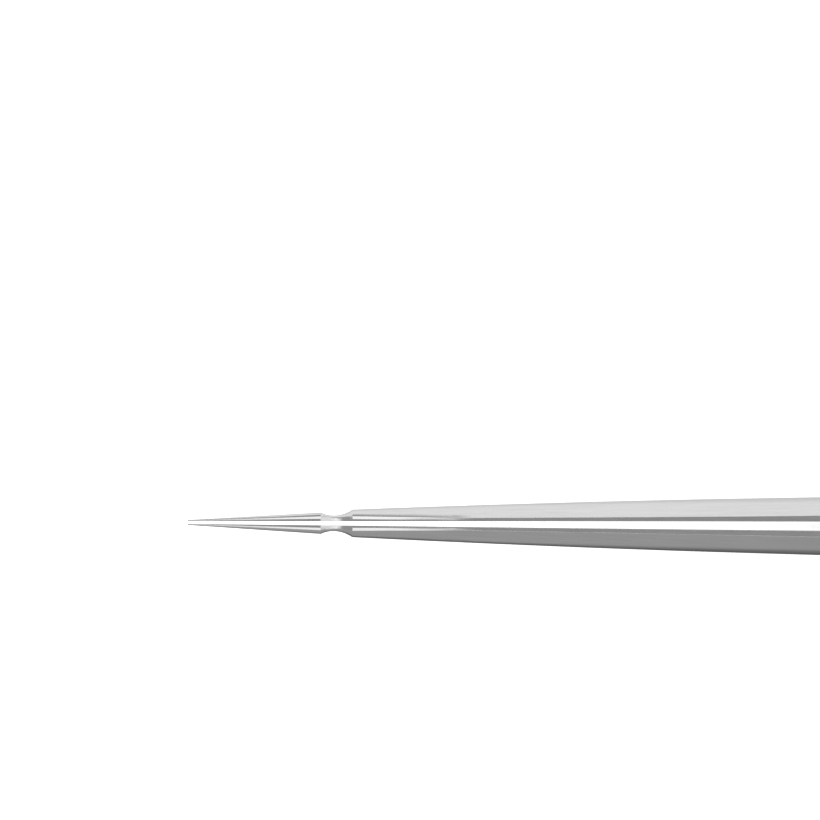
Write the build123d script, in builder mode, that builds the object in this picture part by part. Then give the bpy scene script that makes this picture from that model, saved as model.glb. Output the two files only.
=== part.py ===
from build123d import *
import os
from math import radians, tan
from typing import NamedTuple

# Pointed precision tweezers, nearly closed, lying on the edges of their two legs.
#
# Frame: X from the needle points to the heel, with 0 at half the length.
# Y is the way the legs open, with 0 midway between them.
# Z is the width of the legs, and the surface they lie on is Z = 0.

# Lengths along a leg, from its point unless the name says otherwise
overall_length = 120.0
needle_length = 11.1
neck_length = 2.65
rim_to_waist = 1.15
run_out_length = 11.2
fore_blade_distance = 24.4
mid_blade_distance = 38.0
rear_blade_distance = 52.6
grip_front_distance = 62.0
grip_middle_distance = 71.5
grip_back_distance = 82.0
flex_to_heel = 11.0
heel_length = 12.0

# Widths of a leg, across Z
point_width = 0.18
rim_width = 1.90
waist_width = 1.35
shoulder_width = 2.22
fore_blade_width = 3.55
mid_blade_width = 5.37
rear_blade_width = 7.35
grip_front_width = 8.55
grip_width = 8.80
grip_edge_grind = 0.12
grip_back_width = 8.75
flex_width = 7.10
heel_front_width = 5.80
heel_back_width = 5.20
heel_end_radius = 2.75

# Thicknesses of a leg, across Y
point_thickness = 0.11
rim_thickness = 0.73
waist_thickness = 0.48
shoulder_thickness = 0.98
fore_blade_thickness = 1.35
mid_blade_thickness = 1.73
rear_blade_thickness = 2.03
grip_front_thickness = 2.13
grip_middle_thickness = 1.98
grip_back_thickness = 1.58
flex_thickness = 0.95
heel_thickness = 1.05

# Gap between the inner faces
point_gap = 0.215
rim_gap = 0.33
shoulder_gap = 0.36
fore_blade_gap = 0.49
mid_blade_gap = 0.65
rear_blade_gap = 0.77
grip_front_gap = 0.90
grip_middle_gap = 0.96
grip_back_gap = 0.91
flex_gap = 0.58
heel_gap = 0.20

# Edge strips beside the inner face, across Y, up to where the bevels would meet them
point_strip = 0.03
rim_strip = 0.41
waist_strip = 0.21
shoulder_strip = 0.365
fore_blade_strip = 0.29
mid_blade_strip = 0.36
rear_blade_strip = 0.50
grip_front_strip = 0.62
grip_middle_strip = 0.72
grip_back_strip = 0.72
flex_strip = 0.58
heel_strip = 0.72

# Flat crests of the outer faces, across Z
point_crest = 0.10
rim_crest = 1.14
waist_crest = 0.80
shoulder_crest = 1.10
fore_blade_crest = 1.24
mid_blade_crest = 1.82
rear_blade_crest = 2.50
grip_front_crest = 3.00
grip_middle_crest = 3.30
grip_back_crest = 3.50
flex_crest = 3.90
heel_crest = 4.10

# Radii that round the bevels into the crests
point_rounding = 0.05
rim_rounding = 0.65
waist_rounding = 0.42
shoulder_rounding = 1.15
fore_blade_rounding = 1.4
mid_blade_rounding = 2.0
rear_blade_rounding = 2.8
grip_front_rounding = 3.2
grip_middle_rounding = 3.6
grip_back_rounding = 4.0
flex_rounding = 4.0
heel_rounding = 1.1

# Slim land and step ground on each corner of strip and bevel, across Y.
# Behind the shoulder they run out: the land narrows, the step widens, both flatten.
land_angle = 20.0
step_angle = 34.5
point_land = 0.02
point_step = 0.015
rim_land = 0.20
rim_step = 0.15
waist_land = 0.25
waist_step = 0.05
shoulder_land = 0.24
shoulder_step = 0.155
run_out_land = 0.04
run_out_step = 0.32
run_out_depth = 0.02
narrowing_power = 4
widening_power = 2
flattening_power = 4

# Weld metal between the two heels
weld_clearance = 0.02
weld_setback = 0.15

# Number of sections that the neck and both parts of the blade are lofted through
neck_section_count = 7
fore_section_count = 13
rear_section_count = 22

mid_width = grip_width / 2
waist_distance = needle_length + rim_to_waist
shoulder_distance = needle_length + neck_length
heel_distance = overall_length - heel_length
flex_distance = heel_distance - flex_to_heel


class Facets(NamedTuple):
    """Cross-section of a leg at one distance from its point."""

    distance: float
    width: float
    thickness: float
    gap: float
    strip: float
    crest: float
    rounding: float
    land: float = run_out_land
    step: float = run_out_step
    depth: float = run_out_depth


def x_at(distance):
    """Place on the X axis of a distance from the points."""
    return distance - overall_length / 2


def corners(section):
    """Corners (Y, Z) on one half of a section: inner face, strip, land, step, crest."""
    inner = section.gap / 2
    half = section.width / 2
    bevel_slope = (half - section.crest / 2) / (section.thickness - section.strip)
    land_inset = section.land * tan(radians(land_angle))
    step_inset = land_inset + section.step * tan(radians(step_angle))
    corner = inner + section.strip
    step_head = step_inset / bevel_slope
    land_head = step_head - section.step
    return [
        (inner, half),
        (corner + land_head - section.land, half),
        (corner + land_head * section.depth, half - land_inset * section.depth),
        (corner + step_head, half - step_inset),
        (inner + section.thickness, section.crest / 2),
    ]


def drawn(section):
    """Sketch of a section across the leg, ready for a loft."""
    upper = [(y, mid_width + z) for y, z in corners(section)]
    lower = [(y, mid_width - z) for y, z in reversed(corners(section))]
    with BuildSketch(Plane.YZ.offset(x_at(section.distance))) as across:
        Polygon(*upper, *lower, align=None)
        fillet(across.vertices().group_by(Axis.X)[-1], radius=section.rounding)
    return across.sketch


def slopes(index):
    """Slope of each size at a named section, taken over its neighbours."""
    before = blade_sections[max(index - 1, 0)]
    after = blade_sections[min(index + 1, len(blade_sections) - 1)]
    span = after.distance - before.distance
    return [(b - a) / span for a, b in zip(before, after)]


def blade_at(distance):
    """Section of the blade at any distance, on a smooth curve through the named ones."""
    last = len(blade_sections) - 2
    index = min(sum(s.distance <= distance for s in blade_sections) - 1, last)
    front, back = blade_sections[index], blade_sections[index + 1]
    span = back.distance - front.distance
    u = (distance - front.distance) / span
    sizes = zip(front, back, slopes(index), slopes(index + 1))
    return Facets(
        *(
            p + (q - p) * u * u * (3 - 2 * u)
            + span * u * (1 - u) * (slope_p * (1 - u) - slope_q * u)
            for p, q, slope_p, slope_q in sizes
        )
    )


def run_out(distance, start, end, power):
    """Value that is start at the shoulder and moves ever faster to end at the run-out."""
    share = min((distance - shoulder_distance) / run_out_length, 1)
    return start + (end - start) * share ** power


def ground_at(distance):
    """Section of the blade with the land and the step that run out behind the shoulder."""
    return blade_at(distance)._replace(
        land=run_out(distance, shoulder_land, run_out_land, narrowing_power),
        step=run_out(distance, shoulder_step, run_out_step, widening_power),
        depth=run_out(distance, 1, run_out_depth, flattening_power),
    )


def hollow(distance):
    """Section of the neck: each size follows the parabola through rim, waist, shoulder."""
    a, b, c = rim.distance, waist.distance, shoulder.distance
    weight_rim = (distance - b) * (distance - c) / ((a - b) * (a - c))
    weight_waist = (distance - a) * (distance - c) / ((b - a) * (b - c))
    weight_shoulder = (distance - a) * (distance - b) / ((c - a) * (c - b))
    sizes = zip(rim, waist, shoulder)
    return Facets(
        *(weight_rim * p + weight_waist * q + weight_shoulder * r for p, q, r in sizes)
    )


def spaced(start, end, count):
    """This many distances from start to end, evenly spaced."""
    return [start + (end - start) * i / (count - 1) for i in range(count)]


def heel_end_waste(setback):
    """Waste outside the round end of the heel, seen from its broad side."""
    end = x_at(overall_length)
    with BuildPart() as waste:
        with BuildSketch(Plane.XZ):
            with Locations((end, mid_width)):
                Rectangle(2 * heel_end_radius, 2 * grip_width)
            with Locations((end - heel_end_radius, mid_width)):
                Circle(heel_end_radius - setback, mode=Mode.SUBTRACT)
        extrude(amount=grip_width, both=True)
    return waste.part


# Named sections of the left leg, from its point to its heel
point = Facets(
    0, point_width, point_thickness, point_gap, point_strip, point_crest,
    point_rounding, point_land, point_step, 1,
)
rim = Facets(
    needle_length, rim_width, rim_thickness, rim_gap, rim_strip, rim_crest,
    rim_rounding, rim_land, rim_step, 1,
)
waist = Facets(
    waist_distance, waist_width, waist_thickness, (rim_gap + shoulder_gap) / 2,
    waist_strip, waist_crest, waist_rounding, waist_land, waist_step, 1,
)
shoulder = Facets(
    shoulder_distance, shoulder_width, shoulder_thickness, shoulder_gap,
    shoulder_strip, shoulder_crest, shoulder_rounding, shoulder_land, shoulder_step, 1,
)
fore_blade = Facets(
    fore_blade_distance, fore_blade_width, fore_blade_thickness, fore_blade_gap,
    fore_blade_strip, fore_blade_crest, fore_blade_rounding,
)
mid_blade = Facets(
    mid_blade_distance, mid_blade_width, mid_blade_thickness, mid_blade_gap,
    mid_blade_strip, mid_blade_crest, mid_blade_rounding,
)
rear_blade = Facets(
    rear_blade_distance, rear_blade_width, rear_blade_thickness, rear_blade_gap,
    rear_blade_strip, rear_blade_crest, rear_blade_rounding,
)
grip_front = Facets(
    grip_front_distance, grip_front_width, grip_front_thickness, grip_front_gap,
    grip_front_strip, grip_front_crest, grip_front_rounding,
)
grip_middle = Facets(
    grip_middle_distance, grip_width + 2 * grip_edge_grind, grip_middle_thickness,
    grip_middle_gap, grip_middle_strip, grip_middle_crest, grip_middle_rounding,
)
grip_back = Facets(
    grip_back_distance, grip_back_width, grip_back_thickness, grip_back_gap,
    grip_back_strip, grip_back_crest, grip_back_rounding,
)
flex_zone = Facets(
    flex_distance, flex_width, flex_thickness, flex_gap, flex_strip, flex_crest,
    flex_rounding,
)
heel_front = Facets(
    heel_distance, heel_front_width, heel_thickness, heel_gap, heel_strip, heel_crest,
    heel_rounding,
)
heel_back = heel_front._replace(distance=overall_length, width=heel_back_width)

# Blade: smooth taper from the shoulder over the grip and the flex zone to the heel
blade_sections = (
    shoulder, fore_blade, mid_blade, rear_blade,
    grip_front, grip_middle, grip_back, flex_zone, heel_front,
)
ground_end = shoulder_distance + run_out_length
fore_distances = spaced(shoulder_distance, ground_end, fore_section_count)
rear_distances = spaced(ground_end, heel_distance, rear_section_count)
fore_outlines = [drawn(ground_at(distance)) for distance in fore_distances]
rear_outlines = [drawn(ground_at(distance)) for distance in rear_distances]
with BuildPart() as blade:
    loft(fore_outlines)
    loft(rear_outlines)
    # Both edges are ground flat at the grip, where the tweezers rest on them
    split(bisect_by=Plane.XY, keep=Keep.TOP)
    split(bisect_by=Plane.XY.offset(grip_width), keep=Keep.BOTTOM)

# Left leg: needle, hollow neck, blade and flat heel of one piece
neck_distances = spaced(needle_length, shoulder_distance, neck_section_count)
needle_outlines = [drawn(point), drawn(rim)]
neck_outlines = [drawn(hollow(distance)) for distance in neck_distances]
heel_outlines = [drawn(heel_front), drawn(heel_back)]
heel_waste = heel_end_waste(0)
with BuildPart() as left_leg:
    add(blade.part)
    loft(needle_outlines, ruled=True)
    loft(neck_outlines)
    loft(heel_outlines, ruled=True)
    add(heel_waste, mode=Mode.SUBTRACT)

# Right leg: the mirror image of the left one
with BuildPart() as right_leg:
    mirror(left_leg.part, about=Plane.XZ)

# Weld metal: fills the seam between the heels and stops short of their edges
front_x = x_at(heel_distance + weld_setback)
back_x = x_at(overall_length)
front_half = heel_front_width / 2 - weld_setback
back_half = heel_back_width / 2 - weld_setback
weld_waste = heel_end_waste(weld_setback)
with BuildPart() as heel_weld:
    with BuildSketch(Plane.XZ):
        Polygon(
            (front_x, mid_width - front_half),
            (back_x, mid_width - back_half),
            (back_x, mid_width + back_half),
            (front_x, mid_width + front_half),
            align=None,
        )
    extrude(amount=heel_gap / 2 - weld_clearance, both=True)
    add(weld_waste, mode=Mode.SUBTRACT)

left_leg.part.label = "left_leg"
right_leg.part.label = "right_leg"
heel_weld.part.label = "heel_weld"

os.makedirs("parts", exist_ok=True)
export_step(left_leg.part, "parts/left_leg.step")
export_step(right_leg.part, "parts/right_leg.step")
export_step(heel_weld.part, "parts/heel_weld.step")
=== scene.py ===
import math

import bmesh
import bpy
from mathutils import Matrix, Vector


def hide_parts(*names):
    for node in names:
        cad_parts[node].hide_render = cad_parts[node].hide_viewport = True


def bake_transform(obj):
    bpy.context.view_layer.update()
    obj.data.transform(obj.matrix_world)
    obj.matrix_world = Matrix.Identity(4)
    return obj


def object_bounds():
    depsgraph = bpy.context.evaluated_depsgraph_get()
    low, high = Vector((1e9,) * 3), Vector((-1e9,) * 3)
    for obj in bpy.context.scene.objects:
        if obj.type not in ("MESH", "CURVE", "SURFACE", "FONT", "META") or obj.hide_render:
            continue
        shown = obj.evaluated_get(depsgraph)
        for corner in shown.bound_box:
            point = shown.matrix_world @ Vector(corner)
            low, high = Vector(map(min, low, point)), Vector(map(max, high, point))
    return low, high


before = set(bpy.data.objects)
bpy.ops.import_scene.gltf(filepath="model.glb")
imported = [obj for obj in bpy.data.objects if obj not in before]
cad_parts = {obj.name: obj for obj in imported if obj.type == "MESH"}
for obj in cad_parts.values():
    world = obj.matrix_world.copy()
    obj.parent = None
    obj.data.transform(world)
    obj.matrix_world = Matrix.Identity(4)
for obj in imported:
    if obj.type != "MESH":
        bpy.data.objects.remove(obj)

# Metres. X runs from the points to the heel, Y is the way the legs open, Z is up.
cad_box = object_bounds()
POINT_X = cad_box[0].x

# Camera: straight down on the edges of the legs, as in the lower picture
PIXELS_PER_METRE = 12000.0
IMAGE_PIXELS = 820.0
TIPS_PIXEL = (187.5, 522.45)
ROLL = math.radians(0.336)
LENS_MM = 1200.0
SENSOR_MM = 36.0
TIP_HEIGHT = cad_box[1].z / 2

# Flexing stretch of a leg, between its heel and its blade
FLEX_START_X = 0.0480
FLEX_END_X = 0.0240
FLEX_CUTS = 24

# Rings at both ends of the hollow neck, where the shading breaks
SHARP_RINGS = (POINT_X + 0.0111, POINT_X + 0.01375)
SMOOTH_ANGLE = math.radians(9.0)


# Node helpers
class Nodes:
    """Short names for building one node tree."""

    def __init__(self, tree):
        self.tree = tree
        tree.nodes.clear()

    def add(self, kind, **settings):
        node = self.tree.nodes.new(kind)
        for key, value in settings.items():
            setattr(node, key, value)
        return node

    def link(self, source, target):
        self.tree.links.new(source, target)

    def put(self, value, target):
        """Sets a socket to a number, or links it to another socket."""
        if isinstance(value, (int, float, tuple)):
            target.default_value = value
        else:
            self.link(value, target)

    def math(self, operation, a, b=0.0, c=0.0, clamp=False):
        node = self.add("ShaderNodeMath", operation=operation, use_clamp=clamp)
        for value, socket in zip((a, b, c), node.inputs):
            self.put(value, socket)
        return node.outputs[0]

    def ramp(self, factor, stops, interpolation="LINEAR"):
        """Grey ramp; stops are (place, value) pairs."""
        node = self.add("ShaderNodeValToRGB")
        node.color_ramp.interpolation = interpolation
        elements = node.color_ramp.elements
        while len(elements) > 1:
            elements.remove(elements[-1])
        for i, (place, value) in enumerate(stops):
            element = elements[0] if i == 0 else elements.new(place)
            element.position = place
            element.color = (value, value, value, 1.0)
        self.put(factor, node.inputs[0])
        return node.outputs[0]

    def remap(self, value, low, high, to_low, to_high):
        node = self.add("ShaderNodeMapRange")
        for item, socket in zip((value, low, high, to_low, to_high), node.inputs):
            self.put(item, socket)
        return node.outputs[0]

    def noise(self, vector, scale, detail=2.0, roughness=0.5):
        node = self.add("ShaderNodeTexNoise")
        self.link(vector, node.inputs["Vector"])
        node.inputs["Scale"].default_value = scale
        node.inputs["Detail"].default_value = detail
        node.inputs["Roughness"].default_value = roughness
        return node.outputs["Fac"]

    def stretched(self, vector, scale):
        node = self.add("ShaderNodeMapping")
        self.link(vector, node.inputs["Vector"])
        node.inputs["Scale"].default_value = scale
        return node.outputs["Vector"]


# Materials
def ground_steel():
    """Satin stainless steel, ground along its length, its edges painted brighter: partly
    edge wear, partly a painted highlight.
    """
    material = bpy.data.materials.new("ground_steel")
    material.use_nodes = True
    n = Nodes(material.node_tree)
    place = n.add("ShaderNodeTexCoord").outputs["Object"]
    # Streaks left by grinding: long along X, thin across it
    streaks = n.noise(n.stretched(place, (90.0, 5200.0, 5200.0)), 1.0, 3.0, 0.6)
    fine = n.noise(n.stretched(place, (700.0, 26000.0, 26000.0)), 1.0, 2.0, 0.5)
    clouds = n.noise(n.stretched(place, (160.0, 420.0, 420.0)), 1.0, 2.0, 0.5)
    grain = n.math("ADD", n.math("MULTIPLY", streaks, 0.6), n.math("MULTIPLY", fine, 0.4))

    edge = n.add("ShaderNodeBevel", samples=6)
    edge.inputs["Radius"].default_value = 0.00004
    flat = n.add("ShaderNodeNewGeometry").outputs["Normal"]
    dot = n.add("ShaderNodeVectorMath", operation="DOT_PRODUCT")
    n.link(edge.outputs["Normal"], dot.inputs[0])
    n.link(flat, dot.inputs[1])
    # Edge mask from the bevel normal: partly edge wear, partly a painted highlight
    wear_and_highlight = n.remap(dot.outputs["Value"], 0.999, 0.96, 0.0, 1.0)

    tone = n.remap(grain, 0.3, 0.7, 0.53, 0.60)
    tone = n.math("ADD", tone, n.math("MULTIPLY", n.math("SUBTRACT", clouds, 0.5), 0.03))
    # Lightens the steel's colour along the edges: a painted highlight, partly edge wear
    tone = n.math("ADD", tone, n.math("MULTIPLY", wear_and_highlight, 0.03))
    colour = n.add("ShaderNodeCombineColor")
    n.link(tone, colour.inputs[0])
    n.link(tone, colour.inputs[1])
    n.link(n.math("MULTIPLY", tone, 1.005), colour.inputs[2])

    bump = n.add("ShaderNodeBump")
    bump.inputs["Strength"].default_value = 0.06
    bump.inputs["Distance"].default_value = 0.00002
    n.link(grain, bump.inputs["Height"])
    n.link(edge.outputs["Normal"], bump.inputs["Normal"])

    shader = n.add("ShaderNodeBsdfPrincipled")
    shader.inputs["Metallic"].default_value = 1.0
    n.link(colour.outputs[0], shader.inputs["Base Color"])
    n.link(n.remap(grain, 0.3, 0.7, 0.17, 0.24), shader.inputs["Roughness"])
    n.link(bump.outputs["Normal"], shader.inputs["Normal"])
    output = n.add("ShaderNodeOutputMaterial")
    n.link(shader.outputs[0], output.inputs[0])
    return material


def weld_metal():
    """Dull fused metal with a fine ripple."""
    material = bpy.data.materials.new("weld_metal")
    material.use_nodes = True
    n = Nodes(material.node_tree)
    place = n.add("ShaderNodeTexCoord").outputs["Object"]
    ripple = n.noise(n.stretched(place, (2600.0, 2600.0, 2600.0)), 1.0, 3.0, 0.6)
    tone = n.remap(ripple, 0.3, 0.7, 0.34, 0.46)
    colour = n.add("ShaderNodeCombineColor")
    for socket in colour.inputs[:3]:
        n.link(tone, socket)
    bump = n.add("ShaderNodeBump")
    bump.inputs["Strength"].default_value = 0.4
    bump.inputs["Distance"].default_value = 0.00005
    n.link(ripple, bump.inputs["Height"])
    shader = n.add("ShaderNodeBsdfPrincipled")
    shader.inputs["Metallic"].default_value = 1.0
    n.link(colour.outputs[0], shader.inputs["Base Color"])
    n.link(n.remap(ripple, 0.3, 0.7, 0.38, 0.52), shader.inputs["Roughness"])
    n.link(bump.outputs["Normal"], shader.inputs["Normal"])
    output = n.add("ShaderNodeOutputMaterial")
    n.link(shader.outputs[0], output.inputs[0])
    return material


def table_white():
    """Pale lit table."""
    material = bpy.data.materials.new("table_white")
    material.use_nodes = True
    n = Nodes(material.node_tree)
    diffuse = n.add("ShaderNodeBsdfDiffuse")
    diffuse.inputs["Color"].default_value = (0.9, 0.9, 0.9, 1.0)
    glow = n.add("ShaderNodeEmission")
    glow.inputs["Color"].default_value = (1.0, 1.0, 1.0, 1.0)
    glow.inputs["Strength"].default_value = 0.70
    both = n.add("ShaderNodeAddShader")
    n.link(diffuse.outputs[0], both.inputs[0])
    n.link(glow.outputs[0], both.inputs[1])
    output = n.add("ShaderNodeOutputMaterial")
    n.link(both.outputs[0], output.inputs[0])
    return material


# Legs
def flexing_leg(node, material):
    """A copy of the CAD leg, cut into rings across the stretch before its heel and
    smooth-shaded, in place of the stiff CAD one.
    """
    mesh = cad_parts[node].data.copy()
    mesh.materials.clear()
    mesh.materials.append(material)
    work = bmesh.new()
    work.from_mesh(mesh)
    bmesh.ops.remove_doubles(work, verts=work.verts, dist=1e-7)
    for i in range(FLEX_CUTS + 1):
        x = FLEX_END_X + (FLEX_START_X - FLEX_END_X) * i / FLEX_CUTS
        bmesh.ops.bisect_plane(
            work, geom=work.verts[:] + work.edges[:] + work.faces[:],
            plane_co=(x, 0.0, 0.0), plane_no=(1.0, 0.0, 0.0), dist=1e-7,
        )
    work.to_mesh(mesh)
    work.free()
    for name in ("sharp_edge", "sharp_face"):
        if name in mesh.attributes:
            mesh.attributes.remove(mesh.attributes[name])
    mesh.polygons.foreach_set("use_smooth", [True] * len(mesh.polygons))
    mesh.set_sharp_from_angle(angle=SMOOTH_ANGLE)
    for edge in mesh.edges:
        ends = [mesh.vertices[i].co.x for i in edge.vertices]
        for ring in SHARP_RINGS:
            if max(abs(x - ring) for x in ends) < 1e-6:
                edge.use_edge_sharp = True
    leg = bpy.data.objects.new(node + "_flexing", mesh)
    bpy.context.scene.collection.objects.link(leg)
    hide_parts(node)
    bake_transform(leg)
    return leg


steel = ground_steel()
flexing_leg("left_leg", steel)
flexing_leg("right_leg", steel)
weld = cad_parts["heel_weld"]
weld.data.materials.clear()
weld.data.materials.append(weld_metal())

# Stage
floor_mesh = bpy.data.meshes.new("floor")
half = 3.0
floor_mesh.from_pydata(
    [(-half, -half, 0.0), (half, -half, 0.0), (half, half, 0.0), (-half, half, 0.0)],
    [], [(0, 1, 2, 3)],
)
floor_mesh.materials.append(table_white())
floor = bpy.data.objects.new("floor", floor_mesh)
bpy.context.scene.collection.objects.link(floor)
floor.location.z = -0.00001
floor.visible_glossy = False

# Studio: a soft surround, brightest on the left leg's side of the tweezers
world = bpy.data.worlds.new("studio")
bpy.context.scene.world = world
world.use_nodes = True
w = Nodes(world.node_tree)
way = w.add("ShaderNodeSeparateXYZ")
w.link(w.add("ShaderNodeTexCoord").outputs["Generated"], way.inputs[0])
height = w.math("MULTIPLY_ADD", way.outputs["Z"], 0.5, 0.5)


def at(degrees):
    """Place on the ramp of a direction so many degrees from straight up."""
    return (math.cos(math.radians(degrees)) + 1) / 2


LIT = [(180, 0.75), (135, 1.0), (120, 1.22), (94, 1.24), (85, 1.32), (79, 0.85), (73, 0.40),
       (64, 0.40), (56, 0.6), (48, 1.6), (34, 1.7), (22, 0.5), (0, 0.38)]
DIM = [(180, 0.13), (150, 0.14), (128, 0.28), (116, 0.50), (80, 0.50), (60, 0.52),
       (47, 1.55), (34, 1.65), (22, 0.5), (0, 0.4)]
lit = w.ramp(height, [(at(angle), value / 2) for angle, value in LIT])
dim = w.ramp(height, [(at(angle), value / 2) for angle, value in DIM])
side = w.remap(way.outputs["Y"], -0.3, 0.3, 0.0, 1.0)


def mixed(factor, first, second):
    """First colour where the factor is 0, second where it is 1."""
    node = w.add("ShaderNodeMix", data_type="RGBA")
    w.link(factor, node.inputs["Factor"])
    for value, name in ((first, "A"), (second, "B")):
        w.put(value, node.inputs[name])
    return node.outputs["Result"]


# Overhead it is dim towards the points and bright towards the heel
to_points = w.remap(way.outputs["X"], -0.28, -0.46, 0.0, 1.0)
to_heel = w.remap(way.outputs["X"], 0.08, 0.3, 0.0, 1.0)
wide = w.remap(height, at(80), at(68), 0.0, 1.0)
narrow = w.remap(height, at(68), at(54), 0.0, 1.0)
bright = (0.62, 0.62, 0.62, 1.0)
lit = mixed(w.math("MULTIPLY", to_heel, wide), lit, bright)
dim = mixed(w.math("MULTIPLY", to_heel, narrow), dim, bright)
surround = mixed(side, dim, lit)
surround = mixed(w.math("MULTIPLY", to_points, wide), surround, (0.23, 0.23, 0.23, 1.0))
background = w.add("ShaderNodeBackground")
background.inputs["Strength"].default_value = 2.0
w.link(surround, background.inputs["Color"])
w.link(background.outputs[0], w.add("ShaderNodeOutputWorld").inputs[0])

bpy.context.scene.view_settings.view_transform = "Standard"

# Camera
camera_data = bpy.data.cameras.new("camera")
camera_data.lens = LENS_MM
camera_data.sensor_width = SENSOR_MM
camera = bpy.data.objects.new("camera", camera_data)
bpy.context.scene.collection.objects.link(camera)
right = Vector((math.cos(ROLL), math.sin(ROLL), 0.0))
up = Vector((-math.sin(ROLL), math.cos(ROLL), 0.0))
across = (IMAGE_PIXELS / 2 - TIPS_PIXEL[0]) / PIXELS_PER_METRE
above = (TIPS_PIXEL[1] - IMAGE_PIXELS / 2) / PIXELS_PER_METRE
distance = IMAGE_PIXELS / PIXELS_PER_METRE * LENS_MM / SENSOR_MM
target = Vector((POINT_X, 0.0, TIP_HEIGHT)) + right * across + up * above
camera.location = target + Vector((0.0, 0.0, distance))
camera.rotation_euler = (0.0, 0.0, ROLL)
camera_data.clip_start = 0.01
camera_data.clip_end = 40.0
bpy.context.scene.camera = camera
